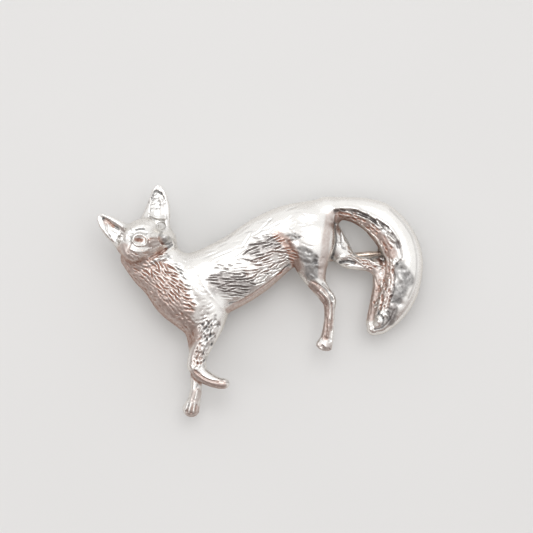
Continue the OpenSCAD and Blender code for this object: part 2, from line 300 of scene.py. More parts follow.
def run_along(place, start, way):
    """How far a place lies from the start along a way, times the way's length."""
    return sum((value - a) * w for value, a, w in zip(place, start, way))


def ellipsoid(centre, radii, axes):
    reach = max(radii)

    def distance(*place):
        shares = 0
        slopes = 0
        for axis, radius in zip(axes, radii):
            part = run_along(place, centre, axis)
            shares = shares + (part / radius)**2
            slopes = slopes + (part / radius**2)**2
        return round_distance(shares, slopes)

    return centre - reach, centre + reach, distance


def taper(start, end, start_r, end_r):
    """A round bar from one ball to another."""
    way = end - start
    reach = max(start_r, end_r)

    def distance(*place):
        part = np.clip(run_along(place, start, way) / (way @ way), 0, 1)
        gap = sum((value - a - part * w)**2 for value, a, w in zip(place, start, way))
        return np.sqrt(gap) - start_r - part * (end_r - start_r)

    return np.minimum(start, end) - reach, np.maximum(start, end) + reach, distance


def soft_min(a, b, blend):
    """The lesser of two distances, with a fillet of about the blend's size between the surfaces."""
    overlap = np.maximum(blend - np.abs(a - b), 0)
    return np.minimum(a, b) - overlap**2 / (4 * blend)


def window(axes, low, high):
    """The part of a grid between two corners, and its coordinates there."""
    spans = tuple(slice(*np.searchsorted(axis, ends)) for axis, ends in zip(axes, zip(low, high)))
    inside = [axis[span] for axis, span in zip(axes, spans)]
    return spans, np.meshgrid(*inside, indexing="ij", sparse=True)


def between_cells(values, cell, part):
    """Values between the points of a grid that repeats past its ends."""
    total = 0
    for corner in np.ndindex((2,) * values.ndim):
        weight = np.prod(np.where(corner, part, 1 - part), axis=1)
        total = total + weight * values[tuple(((cell + corner) % values.shape).T)]
    return total


def grid_values(values, spot):
    """Values between the points of a grid that holds its last value past its ends."""
    cell = np.clip(np.floor(spot).astype(int), 0, np.array(values.shape) - 2)
    return between_cells(values, cell, np.clip(spot - cell, 0, 1))


class Clay:
    """A block of clay on a grid, kept as distances to its surface, below zero inside."""

    def __init__(self):
        self.axes = [np.arange(*ends, PITCH, dtype=np.float32) for ends in zip(CLAY_LOW, CLAY_HIGH)]
        self.field = np.full([len(axis) for axis in self.axes], FAR, dtype=np.float32)

    def add(self, form, blend, sign=1):
        """Adds a form, or with the sign -1 cuts it away."""
        low, high, distance = form
        spans, place = window(self.axes, low - MARGIN, high + MARGIN)
        far = distance(*place).astype(np.float32)
        self.field[spans] = sign * soft_min(sign * self.field[spans], far, blend)

    def sample(self, points):
        return grid_values(self.field, (points - CLAY_LOW) / PITCH)


# Balls of the head: middle and radii along the head's axes, and the fillet to what is there
SKULL = ((0, 0.05, -0.3), (3.6, 2.38, 2.3), 0.6)
CROWN = ((0, 1.0, 0.4), (2.5, 1.25, 1.5), 0.8)
CHEEK = ((2.1, -0.75, 0.25), (1.6, 1.45, 1.35), 0.8)
NOSE = ((0, -0.95, 4.15), (0.72, 0.62, 0.54), 0.06)

# Bars of the head: start, end, the radii there, and the fillet
BROW = ((0.7, 1.15, 1.25), (2.3, 1.3, 0.8), 0.5, 0.45, 0.5)
MUZZLE = ((0, -0.35, 0.9), (0, -0.95, 3.6), 1.5, 0.66, 0.7)
JAW = ((0, -1.35, 0.8), (0, -1.55, 3.0), 1.1, 0.45, 0.35)
EAR_ROOT = ((1.4, 2.3, 0.35), (2.1, 3.4, 0.65), 0.55, 0.15, 0.4)
EAR_BLEND = 0.75
EAR_HOLLOW_BLEND = 0.25


def add_ball(clay, ball, side=1):
    (right, up, look), radii, blend = ball
    clay.add(ellipsoid(head_point(side * right, up, look), radii, HEAD_AXES), blend)


def add_bar(clay, bar, side=1):
    start, end, start_r, end_r, blend = bar
    start = head_point(side * start[0], *start[1:])
    end = head_point(side * end[0], *end[1:])
    clay.add(taper(start, end, start_r, end_r), blend)


def model_head(clay):
    """Skull, cheeks, brows, muzzle, jaw and nose, then the ears with their hollows."""
    add_ball(clay, SKULL)
    add_ball(clay, CROWN)
    for side in (-1, 1):
        add_ball(clay, CHEEK, side)
        add_bar(clay, BROW, side)
    add_bar(clay, MUZZLE)
    add_bar(clay, JAW)
    add_ball(clay, NOSE)
    for side in (-1, 1):
        clay.add(swept(ear(side, EAR_W)), EAR_BLEND)
        hollow = ear(side, EAR_W - 2 * EAR_RIM)
        hollow[:, 2] += EAR_HOLLOW * hollow[:, 4]
        clay.add(swept(hollow), EAR_HOLLOW_BLEND, sign=-1)
    add_bar(clay, EAR_ROOT)


def model_fox():
    """The casting's forms, blended as modelled wax, on a flat back."""
    clay = Clay()
    for blend, start, scale, table in BODY.values():
        clay.add(swept(sections(table, start, scale)), blend)
    model_head(clay)
    behind = BACK_GAP - clay.axes[2][None, None, :]
    clay.field = -soft_min(-clay.field, -behind, BACK_EDGE)
    return clay


# The pin runs along its own axis from the hinge to the catch, at the height of its bores
HINGE_AT = np.array([0.11 * BODY_L, LEG_L + 0.65 * BARREL_H]) + SHIFT[:2]
CATCH_AT = TAIL_ROOT + np.array([0.48 * TAIL_REACH, -0.475 * TAIL_DROP]) + SHIFT[:2]
STEM_RUN = np.linalg.norm(CATCH_AT - HINGE_AT)
STEM_WAY = (CATCH_AT - HINGE_AT) / STEM_RUN
CATCH_BORE = STEM_D / 2 + CLEARANCE
CATCH_R = CATCH_BORE + CATCH_T
STEM_Z = CATCH_R
LUG_AT = EYE_RING_T / 2 + CLEARANCE + LUG_T / 2
SOLDER = 0.3
SOLDER_BLEND = 0.25
EDGE = 0.08


def pin_axes(x, y):
    along = (x - HINGE_AT[0]) * STEM_WAY[0] + (y - HINGE_AT[1]) * STEM_WAY[1]
    across = (y - HINGE_AT[1]) * STEM_WAY[0] - (x - HINGE_AT[0]) * STEM_WAY[1]
    return along, across


def lug(middle):
    """A lug of the hinge: a rounded tab that hangs from the flat back, bored for the rivet."""
    at = HINGE_AT + middle * np.array([-STEM_WAY[1], STEM_WAY[0]])
    bore = RIVET_D / 2 + CLEARANCE

    def distance(x, y, z):
        along, across = pin_axes(x, y)
        tab = np.hypot(along, np.minimum(z - STEM_Z, 0)) - STEM_Z
        tab = np.maximum(tab, z - BACK_GAP - SOLDER)
        side = np.abs(across - middle) - LUG_T / 2
        solid = -soft_min(-tab, -side, EDGE)
        return np.maximum(solid, bore - np.hypot(along, z - STEM_Z))

    low = np.append(at - STEM_Z, 0)
    high = np.append(at + STEM_Z, BACK_GAP + SOLDER)
    return low, high, distance


def catch():
    """A wall that curls round below the pin and is open towards the feet."""
    wall = (CATCH_BORE + CATCH_R) / 2

    def distance(x, y, z):
        along, across = pin_axes(x, y)
        level = z - STEM_Z
        bowl = np.abs(np.hypot(across, level) - wall) - CATCH_T / 2
        lip = np.hypot(np.maximum(np.abs(across + wall) - CATCH_T / 2, 0), level)
        strip = np.maximum(np.abs(across - wall) - CATCH_T / 2, level - (BACK_GAP + SOLDER - STEM_Z))
        profile = np.where(level < 0, bowl, np.minimum(lip, strip))
        side = np.abs(along - STEM_RUN) - CATCH_W / 2
        return -soft_min(-profile, -side, EDGE)

    low = np.append(CATCH_AT - 2 * CATCH_R, 0)
    high = np.append(CATCH_AT + 2 * CATCH_R, BACK_GAP + SOLDER)
    return low, high, distance


def solder_findings(clay):
    """Two lugs and a catch, soldered to the flat back."""
    for side in (-1, 1):
        clay.add(lug(side * LUG_AT), SOLDER_BLEND)
    clay.add(catch(), SOLDER_BLEND)


# The drawing: corner and pitch of its maps, where a patch ends in its radii and how fast it falls,
# share of the stain and painted shade that polishing takes off, which paints a highlight there,
# and width of a knob in its radii
DRAWING_LOW = np.array([-18.6, -15.2])
DRAWING_PITCH = 0.03
PATCH_END = 1.3
PATCH_FALL = 2.5
POLISH_AND_HIGHLIGHT = 0.85
KNOB_WIDTH = 0.6

# A hair in its own widths: its lips' place, width and height, then how fast its bend turns
LIP_AT = 1.7
LIP_WIDTH = 0.8
LIP_HEIGHT = 0.5
BEND = 2.5


class Drawing:
    """A map of the flank from the front: heights in millimetres, or painted shade and stain from 0 to 1.
    """

    def __init__(self):
        self.axes = [np.arange(low, -low, DRAWING_PITCH) for low in DRAWING_LOW]
        self.value = np.zeros([len(axis) for axis in self.axes])

    def near_line(self, points, reach):
        """The part of the map round a line of points, and the distance to the line there."""
        points = np.array(points, dtype=float)
        spans, place = window(self.axes, points.min(axis=0) - reach, points.max(axis=0) + reach)
        return spans, np.sqrt(nearest_on(points, *place)[0])

    def line(self, points, width, height):
        """A soft ridge, or with a height below zero a groove."""
        spans, gap = self.near_line(points, 3 * width)
        self.value[spans] += height * np.exp(-(gap / width)**2)

    def patch(self, points, radius):
        """The part of the map round a line, and a cover: even near the line, none past the radius."""
        spans, gap = self.near_line(points, PATCH_END * radius)
        return spans, np.clip(PATCH_FALL * (PATCH_END - gap / radius), 0, 1)

    def smudge(self, points, radius, strength):
        """A patch along a line that never lessens what lies there."""
        spans, cover = self.patch(points, radius)
        self.value[spans] = np.maximum(self.value[spans], strength * cover)

    def wipe(self, points, radius):
        """Takes most of the painted shade and stain off a raised line: polish and a painted highlight."""
        spans, cover = self.patch(points, radius)
        self.value[spans] *= 1 - POLISH_AND_HIGHLIGHT * cover

    def near_spot(self, x, y, reach):
        """The part of the map round a spot, and the distances there along both axes."""
        spans, (px, py) = window(self.axes, (x - reach, y - reach), (x + reach, y + reach))
        return spans, px - x, py - y

    def knob(self, x, y, radius, height):
        """A round knob, or with a height below zero a dent."""
        spans, dx, dy = self.near_spot(x, y, 2 * radius)
        self.value[spans] += height * np.exp(-(dx**2 + dy**2) / (KNOB_WIDTH * radius)**2)

    def hair(self, x, y, angle, length, width, depth, curl):
        """One hair: a tapered groove between two low lips, bent like a flat S."""
        spans, dx, dy = self.near_spot(x, y, length / 2 + 3 * width)
        along = dx * math.cos(angle) + dy * math.sin(angle)
        across = dy * math.cos(angle) - dx * math.sin(angle)
        across = across - curl * np.sin(BEND * along)
        fade = np.clip(1 - (2 * along / length)**2, 0, 1)
        groove = np.exp(-(across / width)**2)
        lips = np.exp(-((np.abs(across) - LIP_AT * width) / (LIP_WIDTH * width))**2)
        self.value[spans] += depth * fade * (LIP_HEIGHT * lips - groove)

    def sample(self, points):
        return grid_values(self.value, (points[:, :2] - DRAWING_LOW) / DRAWING_PITCH)


# Fur: x, y and radius of a patch, angle of its hairs in degrees, their length, gap, depth and curl
FUR = np.array([
    # neck and chest
    (-12.7, 4.7, 1.5, -76, 1.3, 0.38, 0.12, 0.14),
    (-11, 3.4, 1.3, -54, 1.2, 0.38, 0.13, 0.14),
    (-13.2, 2.4, 1.4, -64, 1, 0.38, 0.09, 0.12),
    (-11.6, 1.3, 1.3, -68, 1.1, 0.38, 0.13, 0.14),
    (-13, -0.4, 1.2, -70, 0.8, 0.42, 0.04, 0.06),
    (-11.3, -0.8, 1, -38, 1, 0.44, 0.08, 0.06),
    (-12.3, -2.4, 1.1, -70, 0.6, 0.46, 0.04, 0.06),
    (-12.9, -4.4, 0.9, -98, 0.6, 0.46, 0.04, 0.06),
    (-15.3, 5.2, 1.1, -62, 0.8, 0.36, 0.07, 0.04),
    (-14.6, 3.2, 1, -66, 0.8, 0.36, 0.06, 0.04),
    (-14.4, 0.9, 1.1, -66, 0.8, 0.42, 0.05, 0.04),
    # shoulder and foreleg
    (-9.4, 3.3, 1.3, -42, 0.8, 0.8, 0.03, 0.04),
    (-9, 0.4, 1.3, -42, 0.7, 0.8, 0.02, 0.04),
    (-9.6, -2.6, 1.1, 15, 0.7, 0.6, 0.03, 0.06),
    (-10.5, -4.2, 1.1, 28, 0.8, 0.42, 0.1, 0.08),
    (-11.4, -5.6, 1, 35, 0.8, 0.42, 0.1, 0.08),
    (-12.5, -7, 0.9, 48, 0.6, 0.42, 0.09, 0.06),
    (-13.4, -8, 0.7, 60, 0.5, 0.4, 0.07, 0.04),
    # first patch of the flank
    (-6.9, 0.4, 1, -31, 1.7, 0.33, 0.11, 0.05),
    (-6.4, -1.2, 1.1, -28, 1.7, 0.33, 0.11, 0.05),
    (-5.2, 0, 1.2, -26, 1.8, 0.33, 0.11, 0.05),
    (-4.6, -1.6, 1, -20, 1.6, 0.33, 0.12, 0.04),
    (-3.6, -0.7, 1.1, -16, 1.6, 0.33, 0.12, 0.04),
    (-5.6, 1.4, 0.9, -30, 1.3, 0.45, 0.1, 0.03),
    (-3.6, 1, 0.9, -22, 1.3, 0.5, 0.08, 0.03),
    # second patch of the flank
    (-1.4, 1.4, 1.2, -10, 1.7, 0.33, 0.12, 0.04),
    (0.3, 2.2, 1.1, -7, 1.7, 0.33, 0.13, 0.05),
    (1.4, 1.6, 0.9, -6, 1.4, 0.33, 0.13, 0.05),
    (-0.3, 0.2, 1.3, -6, 1.7, 0.33, 0.12, 0.04),
    (1.4, 0.2, 1, -8, 1.3, 0.33, 0.12, 0.05),
    (-2, -1.2, 1.1, -4, 1.5, 0.33, 0.12, 0.04),
    (0.3, -1, 1, 2, 1.3, 0.33, 0.12, 0.05),
    (2.6, -0.6, 0.8, -38, 0.9, 0.33, 0.12, 0.03),
    # back
    (-5.6, 3.5, 1.4, 0, 2.4, 0.5, 0.04, 0.02),
    (-2.4, 3.8, 1.5, 2, 2.6, 0.5, 0.05, 0.02),
    (1, 4.2, 1.5, 0, 2.6, 0.5, 0.05, 0.02),
    (4.8, 4.3, 1.3, -12, 2.2, 0.55, 0.04, 0.02),
    # thigh
    (4.2, -0.8, 1.1, -46, 1.2, 0.6, 0.025, 0.04),
    (4.9, -2.6, 1.1, -50, 1.1, 0.6, 0.02, 0.04),
    (4.2, -4.4, 0.9, -66, 0.9, 0.5, 0.025, 0.03),
    (3.8, 1.6, 0.8, -30, 0.8, 0.5, 0.05, 0.02),
    (5.8, 2.6, 1.4, -25, 1, 1, 0.04, 0.02),
    # tail
    (10.6, 1.3, 0.7, -38, 0.7, 0.4, 0.1, 0.02),
    (12, 0.1, 0.8, -50, 0.7, 0.4, 0.1, 0.02),
    (13.1, -1.8, 0.9, -68, 0.7, 0.4, 0.09, 0.02),
    (13.6, -4.2, 0.9, -86, 0.7, 0.42, 0.07, 0.03),
    (13, -6.6, 0.9, -108, 0.4, 0.44, 0.07, 0.05),
    (11.7, -8.8, 0.9, -122, 0.4, 0.42, 0.07, 0.05),
    (10.2, -10.6, 0.9, -132, 0.4, 0.44, 0.07, 0.05),
    (9.6, -11.7, 0.7, -140, 0.4, 0.44, 0.06, 0.05),
    # far thigh
    (9.2, -1.4, 0.7, -75, 0.5, 0.4, 0.05, 0.02),
    (9.6, -3.6, 0.7, -50, 0.5, 0.36, 0.07, 0.03),
    (10.8, -5.6, 0.8, -40, 0.5, 0.36, 0.11, 0.03),
    # face
    (-15, 7, 1, -55, 0.7, 0.36, 0.06, 0.02),
    (-13.4, 6.9, 0.8, -25, 0.6, 0.34, 0.05, 0.02),
    (-13.6, 5.8, 0.9, -50, 0.8, 0.38, 0.07, 0.03),
    (-11.9, 5.5, 0.8, -20, 0.8, 0.38, 0.09, 0.03),
    (-14.8, 9.8, 0.8, 115, 0.6, 0.36, 0.04, 0.02),
    (-11.9, 8.7, 0.6, -15, 0.5, 0.34, 0.05, 0.02),
    (-13.6, 10.9, 0.9, 112, 0.7, 0.38, 0.04, 0.02),
    (-12.2, 10.8, 0.8, 84, 0.6, 0.38, 0.04, 0.02),
])


# Hairs: step along a row as a share of their length, shift, swing in radians, shares of their length and
# depth, width as a share of the gap, widest gap that this counts for, and reach in the patch's radii
HAIR_STEP = 0.75
HAIR_SHIFT = 0.25
HAIR_SWING = 0.18
HAIR_LENGTHS = (0.7, 1.2)
HAIR_DEPTHS = (0.6, 1.25)
HAIR_WIDTH = 0.28
WIDEST_GAP = 0.45
PATCH_REACH = 1.1


def draw_fur():
    """Rows of hairs in each patch, turned with the flow that all patches give together."""
    drawing = Drawing()
    random = np.random.default_rng(7)
    angles = np.radians(FUR[:, 3])
    flow = np.stack([np.cos(angles), np.sin(angles)], axis=1)
    for k, (x, y, radius, _, length, gap, depth, curl) in enumerate(FUR):
        along = flow[k]
        across = np.array([-along[1], along[0]])
        for row in np.arange(-radius, radius, gap):
            first = random.uniform(0, length) - radius
            for place in np.arange(first, radius, HAIR_STEP * length):
                shift = random.uniform(-HAIR_SHIFT, HAIR_SHIFT, 2)
                spot = np.array([x, y]) + (row + gap * shift[0]) * across + (place + shift[1]) * along
                near = np.hypot(*(FUR[:, :2] - spot).T) / FUR[:, 2]
                if near.argmin() != k or near[k] > PATCH_REACH:
                    continue
                way = (flow / near[:, None]**4).sum(axis=0)
                angle = math.atan2(way[1], way[0]) + random.normal(0, HAIR_SWING)
                own_length = length * random.uniform(*HAIR_LENGTHS)
                own_depth = depth * random.uniform(*HAIR_DEPTHS)
                width = HAIR_WIDTH * min(gap, WIDEST_GAP)
                drawing.hair(*spot, angle, own_length, width, own_depth, random.normal(0, curl))
    return drawing


# Lines of the modelling: width, height (below zero for a groove), painted shade and stain, then one or
# more strokes
LINES = [
    # crease before the thigh, line above the belly, shoulder
    (0.6, -0.15, 0, [(2.5, 1.8), (2.8, 0.8), (2.85, -0.6), (2.6, -2.4)]),
    (0.3, -0.1, 0, [(2.8, 0.8), (2.95, -0.6), (2.7, -2)]),
    (0.14, -0.14, 0.7, [(-6.7, -2.7), (-5.6, -3), (-4, -2.85), (-1.2, -2.4), (1, -1.8), (1.9, -1.5)]),
    (0.4, -0.06, 0, [(-7.4, 2.6), (-7.5, 0.8), (-7.8, -1.4), (-8, -3)]),
    (0.4, -0.09, 0, [(-10.4, 3.4), (-10.4, 1.2), (-10.2, -0.8)]),
    (0.26, 0.09, 0, [(-8.6, 1.8), (-8.5, 0), (-8, -1.8), (-7.7, -3.2)]),
    # ruff, fold under the eye, mouth, lower lip, brows, snout, cheek
    (0.3, -0.1, 0.2, [(-16.1, 7), (-15.3, 5.7), (-13.7, 5.3), (-12.3, 5.4), (-11, 5.5)]),
    (0.17, 0.14, 0, [(-14.8, 8.4), (-14.1, 7.7), (-12.9, 7.35), (-11.7, 7.25), (-10.9, 7.1)]),
    (0.12, -0.2, 0.7, [(-10.1, 6.75), (-11, 6.6)]),
    (0.13, -0.2, 0.4, [(-11, 6.6), (-12.2, 6.4), (-13.3, 6.3)]),
    (0.16, 0.1, 0, [(-10.4, 6.35), (-11.2, 6.15), (-12.3, 5.95), (-13.3, 5.9)]),
    (0.09, -0.12, 0.8, [(-13.2, 10.2), (-12.8, 10.12), (-12.3, 9.9)]),
    (0.16, 0.08, 0, [(-14, 10.5), (-12.6, 10.6), (-11.6, 10)]),
    (0.09, -0.09, 0.6, [(-12.2, 8.45), (-11.7, 8.2), (-11.2, 8)]),
    (0.09, -0.1, 0.5, [(-14.5, 8.9), (-14.9, 8.6), (-15.3, 8.1)]),
    # nose: its rim in two strokes, then a nostril
    (0.1, -0.18, 0.5, [(-10.5, 8.6), (-11, 8.3), (-11.15, 7.7), (-11, 7.25)]),
    (0.1, -0.2, 0.8, [(-11.05, 7.35), (-10.6, 7.05), (-10.1, 7)]),
    (0.07, -0.12, 0.9, [(-10.7, 7.6), (-10.55, 7.45), (-10.4, 7.5)]),
    # near eye: lids and crease, then the far eye's outline
    (0.14, 0.24, 0, [(-14.2, 9.1), (-13.7, 9.58), (-13.05, 9.52), (-12.6, 9.05), (-12.5, 8.5)]),
    (0.13, 0.2, 0, [(-14.2, 9.1), (-14, 8.55), (-13.5, 8.22), (-12.95, 8.1), (-12.5, 8.5)]),
    (0.09, -0.08, 0.4, [(-14.45, 9.3), (-13.8, 9.88), (-13, 9.82), (-12.3, 9.25)]),
    (0.08, -0.08, 0.2, [(-10.9, 9.45), (-10.5, 9.85), (-10, 9.65), (-9.85, 9.15)]),
    (0.08, -0.07, 0.1, [(-9.85, 9.15), (-10.2, 8.8), (-10.7, 8.9), (-10.9, 9.45)]),
    # ear towards the tail: rim of its hollow, then the fold at its base
    (0.12, -0.12, 0.75, [(-9.95, 13), (-9.2, 13.6), (-8.65, 13)]),
    (0.12, -0.09, 0.3, [(-8.65, 13), (-8.65, 12), (-9, 10.8), (-9.3, 9.9)]),
    (0.1, -0.08, 0.4, [(-9.95, 13), (-10.4, 12.3), (-10.7, 11.6)]),
    (0.16, 0.16, 0, [(-11.1, 11.3), (-10.4, 10.55), (-9.5, 10.1)]),
    (0.1, -0.06, 0.15, [(-11.2, 11), (-10.5, 10.25), (-9.7, 9.85)]),
    # ear towards the chest: folds of its hollow
    (0.15, -0.16, 0.65, [(-16.3, 13.15), (-15.95, 12.7), (-15.7, 12), (-15.2, 11.3)]),
    (0.11, -0.1, 0.5, [(-16.35, 13.2), (-16.35, 12.4), (-16.6, 11.5), (-16.5, 10.8)]),
    (0.3, 0.16, 0, [(-16.2, 12), (-16.1, 11.2), (-15.6, 10.6)]),
    # tail: ridge, dark step inside it, light strokes on the step, inner and outer face
    (0.24, 0.18, 0, [(9.9, 2.4), (11.9, 1.45), (13.6, -0.3), (14.9, -2.4), (15.2, -4.4)]),
    (0.27, -0.24, 0.9, [(9.8, 1.95), (10.8, 1.5), (12.2, 0.75), (13.4, -0.7), (14.6, -2.5)]),
    (0.24, -0.16, 0.8, [(14.5, -2.4), (15, -3.9), (15, -5.2)]),
    (0.2, -0.08, 0.5, [(14.95, -5), (14.75, -6.4)]),
    (0.13, 0.22, 0, [(11, 1.5), (11.5, 0.9)], [(12, 0.5), (12.9, -0.5)], [(12.9, -0.4), (13.4, -1.3)],
     [(13.85, -1.3), (14.1, -2.2)], [(14.5, -2.3), (14.8, -3.2)]),
    (0.13, 0.2, 0, [(14.4, -3.4), (14.8, -4.4)]),
    (0.12, 0.2, 0, [(12.5, 0.9), (13.1, 0.2)], [(13.4, -0.2), (13.8, -0.9)]),
    (0.3, 0.11, 0, [(8.65, -12.6), (8.85, -12.4)]),
    (0.13, 0.15, 0, [(11.9, -0.6), (12.8, -2.8), (13.1, -4.4), (12.8, -5.7), (12.3, -7)]),
    (0.15, 0.14, 0, [(12.2, -7.3), (11.3, -8.3), (11, -9.2)]),
    (0.15, 0.12, 0, [(10.7, -9.3), (9.9, -10.3), (9.3, -10.7)]),
    (0.1, -0.1, 0.5, [(13.4, -3.6), (13.5, -5.2), (13, -6.8), (12.2, -8)]),
    (0.14, -0.14, 0.7, [(12.3, -7.4), (11.7, -8.2), (11.5, -8.9)],
     [(10.7, -9.7), (10.1, -10.8), (9.1, -11.6)]),
    (0.13, -0.12, 0.7, [(14.5, -6.8), (13.2, -7.4), (12.9, -8.4), (12, -9.9), (10.9, -11),
                        (10.3, -12.1)]),
    (0.11, -0.12, 0.8, [(8.1, -13.2), (9, -13.35), (10.2, -12.9), (11.2, -12)]),
    (0.1, -0.12, 0.8, [(9.4, -11.8), (9.55, -12.6), (9.1, -13.1)]),
    (0.09, -0.1, 0.6, [(10.4, -11.9), (10.3, -12.8)]),
    (0.1, -0.05, 0.25, [(16, -0.6), (16.7, -2.6), (17, -4.7), (16.6, -6.9), (15.9, -8.5),
                         (14.9, -10.1), (13.4, -11.5)]),
    # near thigh, hock and shank: folds, tendon and edges
    (0.12, -0.12, 0.7, [(3.2, -4.1), (4.1, -5.3), (4.7, -6.4), (4.9, -7.7)]),
    (0.12, -0.1, 0.5, [(4.6, -5.4), (5.2, -6.6), (5.4, -7.6)]),
    (0.12, 0.14, 0, [(5, -5.4), (5.2, -7), (4.9, -8.2), (4, -10.1), (2.6, -12.4)]),
    (0.11, -0.12, 0.8, [(4.55, -8), (4, -9.4), (3.2, -11)]),
    (0.1, -0.1, 0.7, [(4.3, -6.4), (4.7, -7.4), (4.5, -8.2)], [(3.6, -5.9), (4, -6.9), (3.9, -8)]),
    (0.1, 0.12, 0, [(4, -6), (4.4, -7.2), (4.2, -8.5), (3.6, -9.7)]),
    (0.09, -0.1, 0.7, [(3.3, -9.4), (2.7, -10.6), (2, -11.6)]),
    (0.09, 0.1, 0, [(3.1, -10.4), (2.4, -11.5)]),
    # rear edge of the haunch, then web, loop and folds of the far thigh and shank
    (0.12, -0.16, 0.6, [(9.6, 1.5), (8.9, 0.2), (8.4, -1.3), (7.6, -2.3), (6.9, -3.1)]),
    (0.13, 0.18, 0, [(7.1, -3.5), (8.3, -3.4), (9.3, -4), (9.9, -5), (10.4, -5.9)]),
    (0.12, 0.14, 0, [(7, -3.9), (7.6, -4.5), (8.9, -5), (9.8, -5.6), (10.3, -6.4)]),
    (0.17, -0.2, 1, [(7.7, -3.9), (8.6, -4.2), (9.3, -4.75)]),
    (0.09, -0.09, 0.6, [(9.4, -0.5), (8.7, -2.2), (9, -2.7)]),
    (0.1, 0.12, 0, [(9.7, 0.2), (9.3, -1.6), (9.8, -3), (10.6, -3.9)]),
    (0.09, -0.1, 0.6, [(10.9, -4.6), (10.9, -5.6), (11.4, -6.3)]),
    (0.12, 0.14, 0, [(10.7, -4.4), (11.3, -5.6), (12.2, -6.6)]),
    (0.1, -0.1, 0.5, [(10.5, -6.2), (10.8, -7.3), (10.6, -8.5)]),
    (0.11, -0.1, 0.5, [(10.8, -7), (10.1, -8.4), (9.2, -9.8), (8.4, -11.2)]),
    # near forepaw, toes of the far forepaw and of the hind paw
    (0.11, -0.14, 0.75, [(-14.1, -8.4), (-13.6, -9.4), (-13, -10.2), (-12.1, -10.8)]),
    (0.12, -0.1, 0.5, [(-14.1, -9.6), (-14.6, -9.3)]),
    (0.1, -0.08, 0.5, [(-14.6, -10.2), (-15.3, -11), (-16, -11.6)]),
    (0.11, -0.17, 0.8, [(-16.1, -12.1), (-16.8, -13)], [(-16.5, -11.8), (-17.2, -12.6)],
     [(-15.8, -12.4), (-16.3, -13.2)]),
    (0.1, 0.14, 0, [(-15.9, -12), (-16.5, -12.9)], [(-16.35, -11.8), (-17, -12.7)]),
    (0.1, 0.12, 0, [(-14.9, -10.7), (-15.6, -11.6)]),
    (0.1, 0.14, 0, [(0.9, -12.3), (1.1, -12.6)]),
    (0.1, 0.12, 0, [(1.5, -12), (1.7, -12.5)]),
    (0.09, -0.1, 0.5, [(-11.4, -11.1), (-11, -11.4)]),
    (0.09, -0.09, 0.5, [(0.9, -12.2), (0.9, -12.9)], [(1.4, -12.3), (1.4, -13)]),
]

# Knobs and, with a height below zero, dents: x, y, radius, height
KNOBS = [
    # pupil, far eyeball, nose
    (-13.4, 8.93, 0.46, -0.3),
    (-10.35, 9.3, 0.4, 0.08),
    (-10.36, 7.92, 0.85, 0.26),
    # hammered end of the tail
    (14.1, -7.9, 0.8, -0.08),
    (13.5, -8.9, 0.7, 0.07),
    (14.4, -9.4, 0.8, -0.07),
    (13.2, -10.2, 0.8, -0.08),
    (12.2, -10.3, 0.6, 0.06),
    (11.9, -11.4, 0.7, -0.08),
    (10.9, -11.6, 0.5, 0.06),
    (9.8, -12.5, 0.5, -0.08),
    (14.8, -6.8, 0.5, 0.1),
    (15.6, -8.4, 0.9, -0.05),
    (8.75, -12.5, 0.6, 0.3),
    # thigh, hock, near wrist, far foreleg
    (3.8, 1.4, 0.9, -0.1),
    (4.6, -7, 0.5, 0.1),
    (-14.2, -8.4, 0.5, 0.1),
    (-11.2, -11.1, 0.4, 0.08),
    # grains on the tail's step
    (11.4, 1.2, 0.28, 0.1),
    (13.2, -0.4, 0.3, 0.1),
    (14.5, -2.6, 0.28, 0.1),
]

# Stipple: x, y and radius of a patch, how many pits, their radius, depth and painted shade
STIPPLE = [
    (-13.2, -2.2, 1.3, 44, 0.2, 0.07, 0.3),
    (-14.2, 1.2, 1.2, 34, 0.2, 0.06, 0.3),
    (-9.6, 12.2, 1.1, 34, 0.17, 0.08, 0.35),
    (-15.9, 11.9, 0.9, 16, 0.16, 0.05, 0.2),
    (9.3, -1.8, 1, 20, 0.18, 0.06, 0.05),
    (10.9, -5.8, 1, 26, 0.17, 0.09, 0.4),
    (12.4, -7.6, 1, 40, 0.17, 0.11, 0.35),
    (11, -9.6, 1, 40, 0.17, 0.11, 0.35),
    (13.9, -8.9, 1.3, 14, 0.46, 0.055, 0),
    (12.3, -10.7, 1.2, 14, 0.42, 0.06, 0),
    (10.6, -12.4, 0.9, 12, 0.3, 0.06, 0.2),
    (4.5, -2.3, 1.5, 28, 0.34, 0.07, 0.1),
    (-9.9, -3.9, 1.1, 26, 0.24, 0.09, 0.45),
    (-11.2, -5.4, 1.1, 30, 0.24, 0.1, 0.45),
    (-12.8, -7.3, 0.9, 22, 0.22, 0.11, 0.3),
    (-13.5, -8.3, 0.7, 12, 0.2, 0.08, 0.2),
    (-13.3, 5.9, 1.4, 30, 0.15, 0.04, 0.2),
    (13.9, -2.2, 1.2, 20, 0.18, 0.06, 0.2),
    (1.7, -12.2, 1, 24, 0.17, 0.07, 0.3),
    (-16.2, -12.2, 1.2, 22, 0.16, 0.05, 0.25),
]
